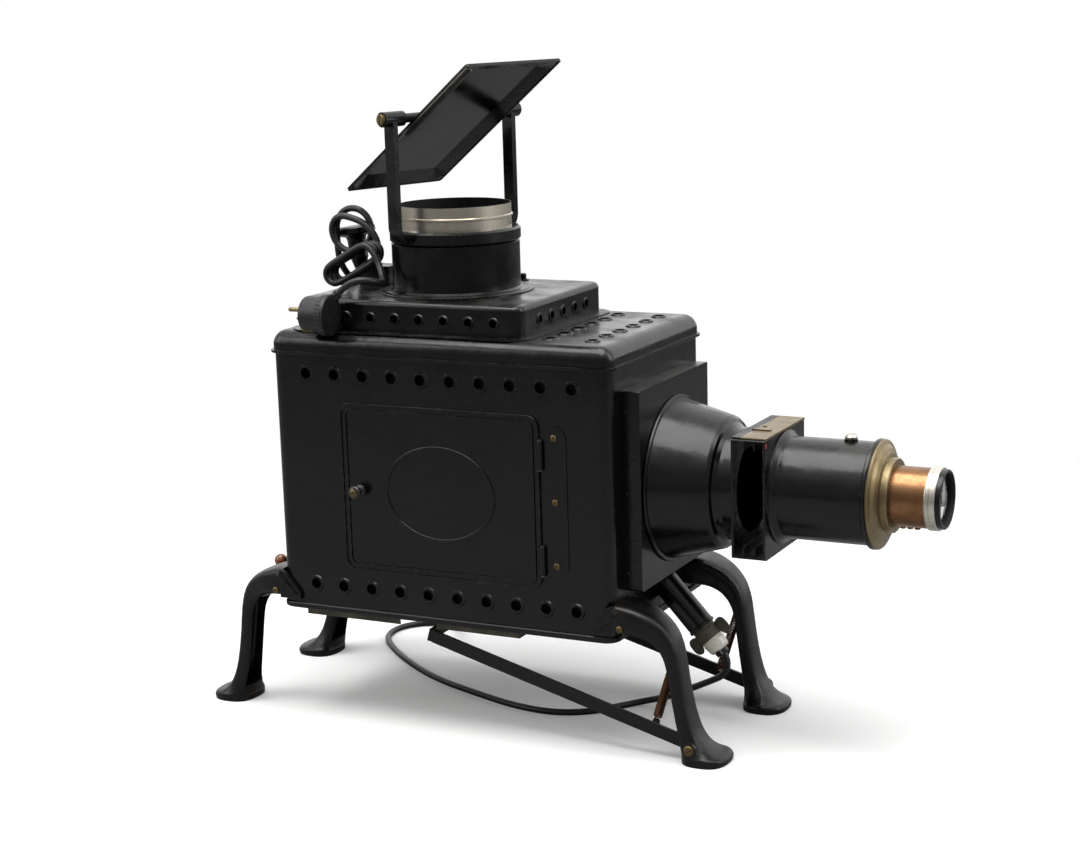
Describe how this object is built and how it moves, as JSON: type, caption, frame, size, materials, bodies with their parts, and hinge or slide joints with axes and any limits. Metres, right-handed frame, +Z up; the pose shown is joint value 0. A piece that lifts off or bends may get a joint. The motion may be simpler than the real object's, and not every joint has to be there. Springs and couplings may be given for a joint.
{
  "type": "opaque projector",
  "caption": "Opaque and slide projector: black sheet lamp house on cast legs, with a door, a chimney lens under a tilting mirror, a slide lens train and a corded lamp.",
  "frame": {"origin": "middle of the object's footprint without its cord, at the soles of the feet", "axes": "+X towards the slide lens, along the lamp house; +Y from the door to the back; +Z up"},
  "size_m": [0.8278, 0.3772, 0.7114],
  "materials": {
    "black_japan": "black japanned sheet steel, gloss, worn at the edges",
    "cast_iron": "cast iron, black enamel",
    "nickel": "dull nickel plate, worn",
    "brass": "aged brass",
    "lacquered_brass": "dark copper-brown lacquered brass",
    "clear_glass": "polished",
    "mirror": "surface mirror, finely scratched",
    "plain_steel": "plain steel, dull",
    "zinc_steel": "khaki-grey dull finish",
    "spring_steel": "spring wire, copper-brown bloom",
    "porcelain": "white glazed porcelain",
    "ebonite": "turned hard rubber",
    "turned_wood": "turned and stained, varnished",
    "rubber_cord": "black rubber sheath",
    "bakelite": "moulded, matt"
  },
  "bodies": {
    "root": {"base_plate": "black_japan", "chimney": "black_japan", "condenser_cell": "black_japan", "condenser_cone": "black_japan", "condenser_lenses": "clear_glass", "cord_coil": "rubber_cord", "cord_run": "rubber_cord", "cord_tail": "rubber_cord", "frame_pivot_screws": "brass", "front_frame": "black_japan", "gate_spring_plate": "brass", "hinge_leaf": "black_japan", "hinge_pin": "plain_steel", "hood": "black_japan", "hood_stud": "black_japan", "housing_shell": "black_japan", "lamp_reflector": "mirror", "lamp_sleeve": "black_japan", "leg_back_left": "cast_iron", "leg_back_right": "cast_iron", "leg_front_left": "cast_iron", "leg_front_right": "cast_iron", "lever_box": "black_japan", "lever_springs": "spring_steel", "objective_tube": "black_japan", "plug_body": "bakelite", "plug_pins": "brass", "seam_rivets": "black_japan", "slide_gate": "black_japan", "top_cover": "black_japan", "vent_baffles": "black_japan", "wall_screws": "brass"},
    "door": {"door": "black_japan"},
    "latch": {"door_knob": "ebonite", "latch_tongue": "plain_steel", "knob_screw": "brass"},
    "yoke": {"yoke": "black_japan", "mirror_pivot_screws": "brass"},
    "mirror": {"mirror_tray": "black_japan", "mirror_glass": "mirror", "mirror_clip": "plain_steel"},
    "episcope_lens": {"episcope_barrel": "nickel", "episcope_lenses": "clear_glass"},
    "hood_lever": {"hood_lever": "black_japan"},
    "changeover": {"changeover_lever": "black_japan", "lever_ball": "turned_wood", "changeover_flap": "black_japan"},
    "lever_frame": {"lever_frame": "black_japan", "stage_pin": "plain_steel"},
    "stage": {"stage_plate": "zinc_steel"},
    "objective": {"objective_flange": "brass"},
    "lens_barrel": {"lens_barrel": "lacquered_brass", "focus_ring": "nickel", "lens_cell": "black_japan", "objective_lenses": "clear_glass"},
    "clamp_screw": {"clamp_screw": "nickel"},
    "lamp": {"lamp_holder": "zinc_steel", "porcelain": "porcelain", "cord_grip": "black_japan", "lamp_bulb": "clear_glass"}
  },
  "joints": [
    {"name": "door_hinge", "type": "hinge", "parent": "root", "child": "door", "pos_m": [0.02259, -0.11895, 0.266], "axis": [0, 0, 1], "range_deg": [0, 150]},
    {"name": "latch_turn", "type": "hinge", "parent": "door", "child": "latch", "pos_m": [-0.19441, -0.12345, 0.2638], "axis": [0, 1, 0], "range_deg": [-90, 0]},
    {"name": "yoke_swivel", "type": "hinge", "parent": "root", "child": "yoke", "pos_m": [-0.13391, 0.00555, 0.521], "axis": [0, 0, 1], "continuous": true},
    {"name": "mirror_tilt", "type": "hinge", "parent": "yoke", "child": "mirror", "pos_m": [-0.13391, 0.00555, 0.6549], "axis": [0.3223, 0.9466, 0], "range_deg": [-5.6, 49]},
    {"name": "episcope_focus", "type": "slide", "parent": "root", "child": "episcope_lens", "axis": [0, 0, 1], "range_m": [-0.008, 0.018]},
    {"name": "hood_lever_swing", "type": "hinge", "parent": "root", "child": "hood_lever", "pos_m": [-0.24991, 0.01955, 0.4722], "axis": [0, 1, 0], "range_deg": [0, 20]},
    {"name": "changeover_swing", "type": "hinge", "parent": "root", "child": "changeover", "pos_m": [-0.26991, 0.00555, 0.181], "axis": [0, 1, 0], "range_deg": [0, 25]},
    {"name": "frame_swing", "type": "hinge", "parent": "root", "child": "lever_frame", "pos_m": [0.17909, 0.00555, 0.0176], "axis": [0, 1, 0], "range_deg": [-12, 0], "stiffness_Nm_per_rad": 12, "springref_deg": 25.78, "deforming": ["lever_springs"]},
    {"name": "stage_level", "type": "hinge", "parent": "lever_frame", "child": "stage", "pos_m": [-0.12532, 0.00555, 0.11551], "axis": [0, 1, 0], "range_deg": [0, 12]},
    {"name": "objective_draw", "type": "slide", "parent": "root", "child": "objective", "axis": [1, 0, 0], "range_m": [0, 0.04]},
    {"name": "barrel_focus", "type": "slide", "parent": "objective", "child": "lens_barrel", "axis": [1, 0, 0], "range_m": [0, 0.012]},
    {"name": "clamp_turn", "type": "hinge", "parent": "root", "child": "clamp_screw", "pos_m": [0.31349, 0.00555, 0.331], "axis": [0, 0, 1], "range_deg": [0, 180]},
    {"name": "lamp_turn", "type": "hinge", "parent": "root", "child": "lamp", "pos_m": [0.10009, 0.00555, 0.1664], "axis": [0.6782, 0, -0.7349], "range_deg": [-35, 35]}
  ],
  "couplings": [
    {"joint": "stage_level", "follows": "frame_swing", "ratio": -1}
  ]
}
